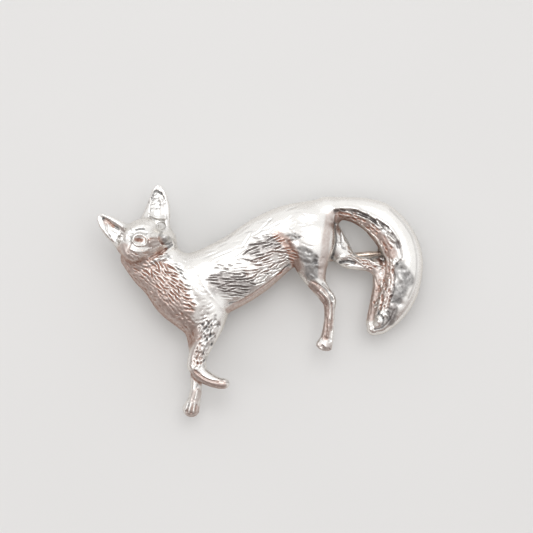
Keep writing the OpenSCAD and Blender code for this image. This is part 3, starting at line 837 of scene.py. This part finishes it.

# Patches of painted shade and painted reflection: radius, strength, share of the painted skin tint, then
# the points
SHADE_PATCHES = [
    (0.85, 1, 0.15, [(-6.4, 0.2), (-4.6, -0.9)]),
    (1.35, 0.76, 0.15, [(-6.9, 0.1), (-4.2, -1.1)]),
    (0.75, 0.92, 0.15, [(-0.6, 1.9), (1.6, 1.7)]),
    (1.2, 0.7, 0.15, [(-1.4, 1.5), (1.9, 1.3)]),
    (0.9, 0.35, 0.4, [(-2.4, -0.3), (1.2, 0.1)]),
    (0.52, 0.78, 1, [(2.1, 2.5), (2.7, 1.2), (2.85, -0.4), (2.6, -2.2)]),
    (0.36, 0.6, 1, [(-7.2, -3.4), (-3.5, -3.15), (1.4, -2.1)]),
    (0.85, 0.92, 0, [(3.9, -0.9), (4.6, -2.1), (4, -3.6)]),
    (0.45, 0.65, 0, [(3.3, 1.6), (4.1, 1.2)]),
    (1.5, 0.75, 1, [(-14.8, 3.6), (-13.4, -0.5), (-13.2, -4)]),
    (1.1, 0.76, 0.9, [(-12.4, 4.2), (-12.2, 3), (-11.8, -1)]),
    (0.48, 0.9, 0.8, [(3.4, -5), (4, -6.3), (4.05, -8), (3.4, -9.8), (2.2, -11.4)]),
    (0.5, 0.6, 0.6, [(1, -12.4), (1.9, -12.7)]),
    (0.65, 0.32, 1, [(-14.5, 7.3), (-13.2, 6.8), (-11.6, 6.8)]),
    (0.5, 0.25, 1, [(-12.1, 8.1), (-11.4, 7.8)]),
    (0.8, 0.55, 1, [(-15.6, 8.6), (-15.4, 7), (-14.2, 5.9)]),
    (0.4, 0.75, 1, [(-14.3, 4.6), (-13.5, 5.15), (-12.6, 5.25)]),
    (0.28, 0.45, 1, [(-16.2, 12.7), (-15.8, 11.9)]),
    (0.42, 0.62, 0, [(-10.8, 8), (-10.6, 7.6), (-10.25, 7.45)]),
    (0.23, 1, 0.9, [(-13.7, 9.1), (-13.15, 8.75)]),
    (0.6, 0.8, 1, [(9.9, 1.1), (11.3, 0.3), (12.4, -1.2), (13.5, -3.6), (13.8, -5.6)]),
    (0.5, 0.75, 1, [(11, -8.2), (9.6, -9.9), (8.2, -11.6)]),
    (0.6, 0.4, 1, [(12.8, -6.8), (11.7, -8.8), (10.2, -10.8)]),
    (0.5, 0.55, 0.1, [(9.9, 1.9), (12.2, 0.6), (14, -1.6), (14.8, -3.3), (14.95, -4.9), (14.7, -6.2)]),
    (0.85, 0.88, 0, [(14, -7.8), (14.2, -9.3)]),
    (0.75, 0.92, 0, [(13.2, -9.9), (11.9, -10.9)]),
    (0.55, 0.95, 0.1, [(11.2, -11.8), (10.2, -13)]),
    (0.28, 0.95, 0.8, [(12.6, -3.8), (12.2, -5.4), (12.3, -6.3)]),
    (0.46, 0.55, 0.9, [(9, 2), (7.1, -0.8), (5.8, -3), (5, -4.6)]),
    (0.6, 0.55, 0.9, [(10, -5.2), (11, -6.4), (11, -8.2)]),
    (0.58, 0.78, 0.9, [(-14.35, -8.8), (-13.8, -9.95), (-12.9, -10.9), (-11.9, -11.4)]),
    (0.5, 0.65, 0.7, [(-15.1, -11), (-15.8, -11.8)]),
    (0.6, 0.7, 0.8, [(-16.2, -12.8), (-16.9, -13.1)]),
    (0.9, 0.7, 1, [(-16.3, 7.4), (-15.9, 5.6), (-15, 3.8)]),
    (0.6, 0.35, 0.9, [(-12.4, -5), (-13.4, -7.4)]),
]


# Lines: steps between two points, narrowest painted shade and stain and narrowest wipe, and height above
# which a ridge is wiped
LINE_STEPS = 5
LEAST_SHADE_AND_STAIN = 0.13
LEAST_WIPE = 0.12
WIPED_HEIGHT = 0.1

# Pits: shares of their size and depth, how far their painted shade is stretched and its width in the
# pit's;
# then the width of the painted shade and stain in its line's, and the painted skin tint's in its patch's
PIT_SIZES = (0.8, 1.5)
PIT_DEPTHS = (0.4, 1.2)
PIT_STRETCH = 0.08
PIT_SHADE = 0.6
SHADE_AND_STAIN_WIDTH = 1.1
SKIN_TINT_SPREAD = 1.15


def stipple(heights, stain_and_shade, random, x, y, radius, count, size, depth, dark):
    """Pits strewn over a round patch, each a little different and with its own painted shade."""
    for _ in range(count):
        turn = random.uniform(0, 2 * math.pi)
        out = radius * math.sqrt(random.uniform())
        spot = np.array([x + out * math.cos(turn), y + out * math.sin(turn)])
        heights.knob(*spot, size * random.uniform(*PIT_SIZES), -depth * random.uniform(*PIT_DEPTHS))
        stain_and_shade.smudge([spot, spot + PIT_STRETCH], PIT_SHADE * size, dark)


def draw_modelling():
    """Heights of knobs, pits and lines, the painted shade and stain with them, and the painted skin tint.
    """
    heights = Drawing()
    stain_and_shade = Drawing()
    skin_reflection = Drawing()
    for knob in KNOBS:
        heights.knob(*knob)
    random = np.random.default_rng(3)
    for patch in STIPPLE:
        stipple(heights, stain_and_shade, random, *patch)
    # Patches of painted shade and painted reflection, and their painted skin tint
    for radius, strength, skin_tint, points in SHADE_PATCHES:
        stain_and_shade.smudge(points, radius, strength)
        skin_reflection.smudge(points, SKIN_TINT_SPREAD * radius, skin_tint)
    for width, height, dark, *strokes in LINES:
        for points in strokes:
            path = curve(np.array(points, dtype=float), LINE_STEPS)
            heights.line(path, width, height)
            if dark:
                stain_and_shade.smudge(path, max(SHADE_AND_STAIN_WIDTH * width, LEAST_SHADE_AND_STAIN), dark)
            # A raised line without stain is wiped: polish and a painted highlight
            elif height > WIPED_HEIGHT:
                stain_and_shade.wipe(path, max(width, LEAST_WIPE))
    return heights, stain_and_shade, skin_reflection


def rough_noise(points, size, seed):
    """Smooth random values from -1 to 1 that change over the given length."""
    spot = points / size
    cell = np.floor(spot).astype(int)
    part = spot - cell
    part = part * part * (3 - 2 * part)
    lattice = np.random.default_rng(seed).uniform(-1, 1, (64, 64, 64))
    return between_cells(lattice, cell, part)


# The surface: one vertex in each cell of the grid that it crosses, then smoothed in rounds
CORNERS = list(np.ndindex(2, 2, 2))
STEPS = np.eye(3, dtype=int)
EDGES = [(np.array(c), step) for step in STEPS for c in CORNERS if not np.dot(c, step)]
SMOOTHING = (0.5, -0.52)
ROUNDS = 3
MOST_TRIANGLES = 190000

# Unevenness of the wax and grain of the sides (height, length, seed), and how far both stay off the back
WOBBLE = [(0.02, 1.3, 1), (0.008, 0.45, 2)]
GRAIN = (0.008, 0.5, 3)
EDGE_FREE = 0.15
BACK_FREE = 0.1


def corner_slices(corner, shape):
    return tuple(slice(c, n - 1 + c) for c, n in zip(corner, shape))


def crossed_cells(inside):
    """Cells with corners on both sides of the surface."""
    count = sum(inside[corner_slices(c, inside.shape)].astype(np.uint8) for c in CORNERS)
    return np.argwhere((count > 0) & (count < len(CORNERS)))


def vertices_in(cells, clay):
    """In each cell, the middle of the places where the surface crosses the cell's edges."""
    total = np.zeros((len(cells), 3))
    crossings = np.zeros((len(cells), 1))
    for corner, step in EDGES:
        a = clay.field[tuple((cells + corner).T)][:, None]
        b = clay.field[tuple((cells + corner + step).T)][:, None]
        crosses = (a < 0) != (b < 0)
        share = np.where(crosses, a / np.where(crosses, a - b, 1), 0)
        total += crosses * (corner + share * step)
        crossings += crosses
    return CLAY_LOW + PITCH * (cells + total / crossings)


def quads_across(inside, number, axis):
    """A quad for each edge of the grid along one axis that the surface crosses."""
    u, v = (axis + 1) % 3, (axis + 2) % 3
    ahead = np.take(inside, range(1, inside.shape[axis]), axis)
    here = np.take(inside, range(0, inside.shape[axis] - 1), axis)
    edges = np.argwhere(ahead != here)
    edges = edges[(edges[:, u] > 0) & (edges[:, v] > 0)]
    out = here[tuple(edges.T)]
    corners = [edges - a * STEPS[u] - b * STEPS[v] for a, b in ((1, 1), (0, 1), (0, 0), (1, 0))]
    ring = np.stack([number[tuple(corner.T)] for corner in corners], axis=1)
    return np.where(out[:, None], ring, ring[:, ::-1])


def surface_of(clay):
    """Vertices and quads of the clay's surface."""
    inside = clay.field < 0
    cells = crossed_cells(inside)
    number = np.full(inside.shape, -1, dtype=np.int64)
    number[tuple(cells.T)] = np.arange(len(cells))
    quads = np.vstack([quads_across(inside, number, axis) for axis in range(3)])
    return vertices_in(cells, clay), quads


def sums_at(targets, rows, count):
    """For each target, the sum of the rows that go to it."""
    return np.stack([np.bincount(targets, rows[:, axis], count) for axis in range(3)], axis=1)


def relax(vertices, quads):
    """Each vertex moves half way to the middle of its neighbours, then back out by a little more."""
    ends = np.concatenate([quads, np.roll(quads, -1, axis=1)]).ravel()
    others = np.concatenate([np.roll(quads, -1, axis=1), quads]).ravel()
    degree = np.bincount(ends, minlength=len(vertices))[:, None]
    for share in SMOOTHING * ROUNDS:
        middle = sums_at(ends, vertices[others], len(vertices)) / degree
        vertices = vertices + share * (middle - vertices)
    return vertices


def normals_of(vertices, quads):
    a, b, c, d = (vertices[quads[:, k]] for k in range(4))
    facing = np.repeat(np.cross(c - a, d - b), 4, axis=0)
    total = sums_at(quads.ravel(), facing, len(vertices))
    return total / np.maximum(np.linalg.norm(total, axis=1), 1e-12)[:, None]


def mesh_from(name, vertices, quads):
    mesh = bpy.data.meshes.new(name)
    mesh.vertices.add(len(vertices))
    mesh.vertices.foreach_set("co", (vertices * MM).ravel())
    mesh.loops.add(quads.size)
    mesh.loops.foreach_set("vertex_index", quads.ravel())
    mesh.polygons.add(len(quads))
    mesh.polygons.foreach_set("loop_start", np.arange(0, quads.size, 4))
    mesh.update(calc_edges=True)
    return mesh


def placed(name, data):
    obj = bpy.data.objects.new(name, data)
    bpy.context.scene.collection.objects.link(obj)
    return obj


def thin_out(obj):
    """Flat and smooth stretches get larger triangles."""
    thin = obj.modifiers.new("thin", "DECIMATE")
    thin.ratio = min(1, MOST_TRIANGLES / (2 * len(obj.data.polygons)))
    thin.use_collapse_triangulate = True
    graph = bpy.context.evaluated_depsgraph_get()
    mesh = bpy.data.meshes.new_from_object(obj.evaluated_get(graph))
    obj.modifiers.clear()
    obj.data = mesh


def vertex_values(mesh, key):
    values = np.empty(3 * len(mesh.vertices), dtype=np.float32)
    mesh.vertices.foreach_get(key, values)
    return values.reshape(-1, 3)


# From drawing and form to patina and painted shade, in millimetres: where a groove and a lip start and how
# soon each is full, and distances at which a hollow's painted shade is felt
GROOVE = (0.02, 0.10)
LIP = (0.025, 0.05)
SHADE_REACHES = (0.5, 1.2)

# Shade of the sides, how it lessens towards right and up, and how steep a side is
SIDE_SHADE = 0.65
SIDE_LIGHT = 0.30
SIDE_STEEP = 1.5


def paint(obj, clay, fur, stain_and_shade, skin_reflection):
    """Attributes for the metal: groove, hollow, painted shade and stain, side and painted skin reflection.
    """
    mesh = obj.data
    points = vertex_values(mesh, "co") / MM
    normals = vertex_values(mesh, "normal")
    right, up, facing = normals.T
    hair = fur.sample(points)
    # Lips of the hair are polished and carry a painted highlight
    lip_polish_and_highlight = np.clip((hair - LIP[0]) / LIP[1], 0, 1)
    # Painted shade in the hollows, where the clay closes in round the surface
    hollow = sum(np.clip(1 - clay.sample(points + reach * normals) / reach, 0, 1) for reach in SHADE_REACHES)
    # Painted shade on the steep sides, strongest where they face left and down
    painted_side_shade = SIDE_SHADE - SIDE_LIGHT * right - SIDE_LIGHT * up
    attributes = {
        # Grooves of the hair: patina and painted shade
        "groove": np.clip(-(hair + GROOVE[0]) / GROOVE[1], 0, 1) * np.clip(3 * facing, 0, 1),
        "hollow": hollow / len(SHADE_REACHES),
        # Painted shade and reflection, with stain in the lines, lessened on the lips
        "painted_shade_and_stain": stain_and_shade.sample(points) * (1 - POLISH_AND_HIGHLIGHT * lip_polish_and_highlight) * np.clip(0.5 + 2 * facing, 0, 1),
        # Steep sides: painted shade, and in the material a painted beige reflection of skin
        "side": painted_side_shade * (1 - np.clip(SIDE_STEEP * np.abs(facing), 0, 1)),
        # Tint of the painted shade: a painted reflection of pink skin
        "skin_reflection": skin_reflection.sample(points),
    }
    for name, values in attributes.items():
        layer = mesh.attributes.new(name, "FLOAT", "POINT")
        layer.data.foreach_set("value", np.ascontiguousarray(values, dtype=np.float32))


def with_relief(vertices, quads, heights, fur):
    """The drawing raised towards the viewer, and a fine grain on the sides."""
    normals = normals_of(vertices, quads)
    front = np.clip(1.5 * normals[:, 2], 0, 1) * (vertices[:, 2] > BACK_GAP + EDGE_FREE)
    wobble = sum(height * rough_noise(vertices, size, seed) for height, size, seed in WOBBLE)
    relief = front * (heights.sample(vertices) + fur.sample(vertices) + wobble)
    height, size, seed = GRAIN
    grain = (1 - front) * height * rough_noise(vertices, size, seed)
    grain = grain * (vertices[:, 2] > BACK_GAP - BACK_FREE)
    vertices = vertices + grain[:, None] * normals
    vertices[:, 2] += relief
    return vertices


def build_casting(material):
    """The fox with what is soldered to its back, as one piece."""
    clay = model_fox()
    solder_findings(clay)
    heights, stain_and_shade, skin_reflection = draw_modelling()
    fur = draw_fur()
    vertices, quads = surface_of(clay)
    vertices = with_relief(relax(vertices, quads), quads, heights, fur)
    obj = placed("fox_casting", mesh_from("fox_casting", vertices, quads))
    thin_out(obj)
    obj.data.shade_smooth()
    paint(obj, clay, fur, stain_and_shade, skin_reflection)
    obj.data.materials.append(material)
    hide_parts("fox_figure")
    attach(obj, "root")


class Nodes:
    """The node tree of a material or of the room, filled by short calls."""

    def __init__(self, owner, shader="Principled BSDF"):
        owner.use_nodes = True
        self.owner = owner
        self.tree = owner.node_tree
        self.shader = self.tree.nodes[shader]

    def add(self, kind, inputs=(), **settings):
        """A node with its settings, and with its inputs linked or set."""
        node = self.tree.nodes.new(kind)
        for key, value in settings.items():
            setattr(node, key, value)
        self.fill(node, inputs)
        return node

    def fill(self, node, inputs):
        for key, value in dict(inputs).items():
            if isinstance(value, bpy.types.NodeSocket):
                self.tree.links.new(value, node.inputs[key])
            else:
                node.inputs[key].default_value = value

    def math(self, operation, a, b, clamp=False):
        return self.add("ShaderNodeMath", {0: a, 1: b}, operation=operation, use_clamp=clamp).outputs[0]

    def attribute(self, name):
        return self.add("ShaderNodeAttribute", attribute_name=name).outputs["Fac"]

    def in_mm(self, stretch=(1, 1, 1), turn=0):
        place = self.add("ShaderNodeTexCoord").outputs["Object"]
        inputs = {"Vector": place, "Scale": [value / MM for value in stretch], "Rotation": (0, 0, turn)}
        return self.add("ShaderNodeMapping", inputs).outputs[0]

    def noise(self, vector, scale, detail=3.0):
        inputs = {"Vector": vector, "Scale": scale, "Detail": detail}
        return self.add("ShaderNodeTexNoise", inputs).outputs[0]

    def spread(self, value, low, high, to_low, to_high):
        inputs = {"Value": value, "From Min": low, "From Max": high, "To Min": to_low, "To Max": to_high}
        return self.add("ShaderNodeMapRange", inputs).outputs[0]

    def mix(self, share, a, b):
        return self.add("ShaderNodeMix", {0: share, 6: a, 7: b}, data_type="RGBA").outputs[2]

    def bump(self, height, strength, reach):
        inputs = {"Height": height, "Strength": strength, "Distance": reach * MM}
        return self.add("ShaderNodeBump", inputs).outputs[0]


# Colours of the metals with their patina and painted shade and reflections, the floor and the room
BRIGHT_SILVER = (0.97, 0.95, 0.92, 1)
WORN_SILVER = (0.93, 0.91, 0.88, 1)
# Beige of a painted reflection of skin on the sides
SIDE_SKIN_REFLECTION = (0.84, 0.75, 0.62, 1)
# Dark of patina and painted shade
GREY_SHADE_AND_TARNISH = (0.185, 0.18, 0.18, 1)
# Brown of a painted reflection of pink skin
SKIN_REFLECTION_BROWN = (0.385, 0.235, 0.185, 1)
# Both wire colours are browned by a painted reflection of skin
BRIGHT_WIRE = (0.70, 0.60, 0.53, 1)
WIRE_SKIN_REFLECTION = (0.45, 0.37, 0.31, 1)
FLOOR_GREY = (0.68, 0.677, 0.67, 1)
FLOOR_PALE = (0.71, 0.707, 0.70, 1)
ROOM_LOW = (0.32, 0.262, 0.243, 1)
ROOM_HIGH = (1.0, 1.0, 1.0, 1)

# How much each attribute of the casting darkens it with patina and painted shade and reflection
SHADE_AND_TARNISH = {"groove": 0.9, "hollow": 0.6, "painted_shade_and_stain": 0.8, "side": 0.55}


def cast_silver():
    """Silver polished on the raised forms, grey with patina and painted shade in the drawing and the
    hollows.
    """
    n = Nodes(bpy.data.materials.new("cast_silver"))
    grain = n.noise(n.in_mm(), 3.5, 4.0)
    wear = n.noise(n.in_mm(), 0.5)
    # Patina and painted shade and reflection, summed from the attributes
    tarnish_and_painted_light = 0.0
    for name, share in SHADE_AND_TARNISH.items():
        tarnish_and_painted_light = n.math("ADD", tarnish_and_painted_light, n.math("MULTIPLY", n.attribute(name), share))
    tarnish_and_painted_light = n.math("MULTIPLY", tarnish_and_painted_light, n.spread(grain, 0.3, 0.7, 0.75, 1.2), clamp=True)
    bright = n.mix(n.spread(wear, 0.35, 0.65, 0, 1), BRIGHT_SILVER, WORN_SILVER)
    # The sides take a painted beige reflection of skin
    bright = n.mix(n.attribute("side"), bright, SIDE_SKIN_REFLECTION)
    # The dark is grey, browned where a painted reflection of skin tints it
    dark = n.mix(n.attribute("skin_reflection"), GREY_SHADE_AND_TARNISH, SKIN_REFLECTION_BROWN)
    rough = n.math("ADD", n.spread(tarnish_and_painted_light, 0, 1, 0.24, 0.5), n.spread(grain, 0.3, 0.7, -0.02, 0.05))
    scratches = n.noise(n.in_mm((0.5, 9.0, 3.0), 0.3), 1.6, 2.0)
    pits = n.noise(n.in_mm(), 7.0)
    relief = n.math("ADD", n.math("MULTIPLY", scratches, 0.5), n.math("MULTIPLY", pits, 0.5))
    n.fill(n.shader, {
        "Base Color": n.mix(tarnish_and_painted_light, bright, dark),
        "Roughness": rough,
        "Metallic": 1.0,
        "Normal": n.bump(relief, 0.25, 0.03),
    })
    return n.owner


def pin_wire():
    """Drawn hard wire with fine lines round it, browned in patches by a painted reflection of skin."""
    n = Nodes(bpy.data.materials.new("pin_wire"))
    lines = n.noise(n.in_mm((2.0, 12.0, 12.0), 0.33), 1.5)
    # Patches of the painted brown reflection of skin
    tarnish_and_painted_light = n.noise(n.in_mm(), 1.2)
    n.fill(n.shader, {
        "Base Color": n.mix(n.spread(tarnish_and_painted_light, 0.4, 0.7, 0, 1), BRIGHT_WIRE, WIRE_SKIN_REFLECTION),
        "Roughness": n.spread(lines, 0.3, 0.7, 0.16, 0.34),
        "Metallic": 1.0,
        "Normal": n.bump(lines, 0.3, 0.02),
    })
    return n.owner


def pale_floor():
    n = Nodes(bpy.data.materials.new("pale_floor"))
    cloud = n.noise(n.in_mm(), 0.02, 2.0)
    n.fill(n.shader, {"Base Color": n.mix(cloud, FLOOR_GREY, FLOOR_PALE), "Roughness": 0.7})
    return n.owner


def dress_node(name, material):
    mesh = bpy.data.objects[name].data
    mesh.materials.clear()
    mesh.materials.append(material)


def lay_floor(half=0.6):
    corners = [(x * half, y * half, 0) for x, y in ((-1, -1), (1, -1), (1, 1), (-1, 1))]
    mesh = bpy.data.meshes.new("floor")
    mesh.from_pydata(corners, [], [(0, 1, 2, 3)])
    mesh.materials.append(pale_floor())
    floor = placed("floor", mesh)


# The view: the photograph's right and up over the brooch, its middle and width at the fox, and how far off
VIEW_TURN = math.radians(-25)
VIEW_RIGHT = np.array([math.cos(VIEW_TURN), math.sin(VIEW_TURN), 0])
VIEW_UP = np.array([-math.sin(VIEW_TURN), math.cos(VIEW_TURN), 0])
VIEW_BACK = np.array([0, 0, 1])
VIEW_MIDDLE = np.array([-0.74, -0.54, 6.0])
VIEW_WIDTH = 65.2
VIEW_DISTANCE = 300.0
SENSOR = 36.0


def stand(name, data, place, axes):
    """A camera or light at a place in millimetres, with its own right, up and back."""
    obj = placed(name, data)
    turn = Matrix(np.array(axes).T.tolist()).to_4x4()
    obj.matrix_world = Matrix.Translation(place * MM) @ turn
    return obj


def set_camera():
    data = bpy.data.cameras.new("view")
    data.sensor_width = SENSOR
    data.lens = SENSOR * VIEW_DISTANCE / VIEW_WIDTH
    data.clip_start = 0.01
    place = VIEW_MIDDLE + VIEW_DISTANCE * VIEW_BACK
    bpy.context.scene.camera = stand("view", data, place, [VIEW_RIGHT, VIEW_UP, VIEW_BACK])


def add_light(name, right, up, height, size, watts):
    """A square soft light that faces the brooch, placed in millimetres along the photograph's axes."""
    data = bpy.data.lights.new(name, "AREA")
    data.size = size * MM
    data.energy = watts
    place = right * VIEW_RIGHT + up * VIEW_UP + height * VIEW_BACK
    back = place / np.linalg.norm(place)
    side = np.cross(VIEW_UP, back)
    side = side / np.linalg.norm(side)
    stand(name, data, place, [side, np.cross(back, side), back])


# The room: way to its bright part (right, up, front), where the bright starts and is full, its strength
ROOM_LEAN = (0.30, 0.72, 0.62)
ROOM_EDGE = (-0.35, 0.55)
ROOM_STRENGTH = 0.95


def light_room():
    """A soft key light and a weak fill, in a room that is bright above and brown below."""
    add_light("key", right=40, up=130, height=400, size=300, watts=0.6)
    add_light("fill", right=-300, up=-60, height=260, size=160, watts=0.15)
    world = bpy.data.worlds.new("room")
    bpy.context.scene.world = world
    n = Nodes(world, "Background")
    way = n.add("ShaderNodeTexCoord").outputs["Generated"]
    lean = ROOM_LEAN @ np.array([VIEW_RIGHT, VIEW_UP, VIEW_BACK])
    facing = n.add("ShaderNodeVectorMath", {0: way, 1: lean.tolist()}, operation="DOT_PRODUCT")
    edge = {"Value": facing.outputs["Value"], "From Min": ROOM_EDGE[0], "From Max": ROOM_EDGE[1]}
    share = n.add("ShaderNodeMapRange", edge, interpolation_type="SMOOTHSTEP").outputs[0]
    n.fill(n.shader, {"Color": n.mix(share, ROOM_LOW, ROOM_HIGH), "Strength": ROOM_STRENGTH})


wire = pin_wire()
build_casting(cast_silver())
dress_node("pin_stem", wire)
dress_node("hinge_rivet", wire)
lay_floor()
set_camera()
light_room()
bpy.context.scene.view_settings.view_transform = "Standard"
